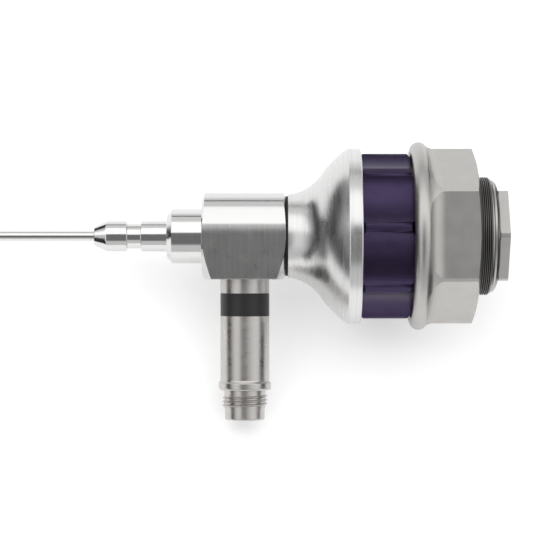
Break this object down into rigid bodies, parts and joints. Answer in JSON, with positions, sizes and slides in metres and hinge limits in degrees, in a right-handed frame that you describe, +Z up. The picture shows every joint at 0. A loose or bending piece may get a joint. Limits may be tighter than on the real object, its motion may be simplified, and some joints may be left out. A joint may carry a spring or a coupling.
{
  "type": "rigid endoscope",
  "caption": "Rigid angled-view scope with a thin shaft, sheath lock, threaded light post, flared bell, scalloped focus ring and a swivelling hexagon camera mount.",
  "frame": {"origin": "on the table, under the middle of the object's box, with the scope lying as it comes to rest", "axes": "+Z up; +X along the scope seen from above, away from the shaft's tip; the light post points towards -Y"},
  "size_m": [0.1816, 0.0718, 0.0491],
  "materials": {
    "polished_steel": "polished stainless steel",
    "block_steel": "stainless steel, polished above and brushed on its flat sides",
    "satin_steel": "satin stainless steel",
    "inner_steel": "turned stainless steel, unfinished",
    "violet_anodised": "dark violet anodised aluminium",
    "black_anodised": "black anodised aluminium",
    "black_band": "black moulded ring",
    "seal_rubber": "black seal rubber",
    "bearing_bronze": "sintered bronze",
    "optical_glass": "coated optical glass",
    "light_fibre": "bundled glass fibre, ends polished"
  },
  "bodies": {
    "scope": {"bell": "polished_steel", "block_seal": "seal_rubber", "body_block": "block_steel", "core_sleeve": "inner_steel", "distal_window": "optical_glass", "fibre_bundle": "light_fibre", "fibre_ferrule": "inner_steel", "field_stop": "black_anodised", "front_collar": "polished_steel", "light_cone": "optical_glass", "light_entry_window": "optical_glass", "light_post_band": "black_band", "light_post_barrel": "satin_steel", "light_post_neck": "satin_steel", "light_post_tip": "satin_steel", "objective_lens": "optical_glass", "ocular_cell": "black_anodised", "ocular_lens": "optical_glass", "ocular_retainer": "black_anodised", "optic_tube": "inner_steel", "outer_tube": "polished_steel", "ring_retainer": "black_anodised", "rod_lens_1": "optical_glass", "rod_lens_2": "optical_glass", "rod_lens_3": "optical_glass", "rod_lens_4": "optical_glass", "rod_lens_5": "optical_glass", "rod_lens_6": "optical_glass", "rod_spacer_1": "inner_steel", "rod_spacer_2": "inner_steel", "rod_spacer_3": "inner_steel", "rod_spacer_4": "inner_steel", "rod_spacer_5": "inner_steel", "sheath_lock": "polished_steel", "swivel_retainer": "inner_steel", "view_prism": "optical_glass"},
    "focus_ring": {"focus_ring": "violet_anodised"},
    "focus_group": {"focus_cell": "black_anodised", "focus_pin": "inner_steel", "focus_lens": "optical_glass", "focus_lens_retainer": "black_anodised"},
    "camera_mount": {"camera_nut": "satin_steel", "swivel_bush": "bearing_bronze", "camera_thread_ring": "black_anodised", "window_housing": "satin_steel", "rear_window": "optical_glass", "window_retainer": "inner_steel"}
  },
  "joints": [
    {"name": "mount_swivel", "type": "hinge", "parent": "scope", "child": "camera_mount", "pos_m": [0.06938, 0.01129, 0.02479], "axis": [0.9958, 0, 0.0912], "continuous": true},
    {"name": "focus_turn", "type": "hinge", "parent": "scope", "child": "focus_ring", "pos_m": [0.05827, 0.01129, 0.02378], "axis": [0.9958, 0, 0.0912], "range_deg": [-40, 40]},
    {"name": "focus_travel", "type": "slide", "parent": "focus_ring", "child": "focus_group", "axis": [0.9958, 0, 0.0912], "range_m": [-0.0008, 0.0008]}
  ],
  "couplings": [
    {"joint": "focus_travel", "follows": "focus_turn", "m_per_rad": 0.0011459}
  ]
}
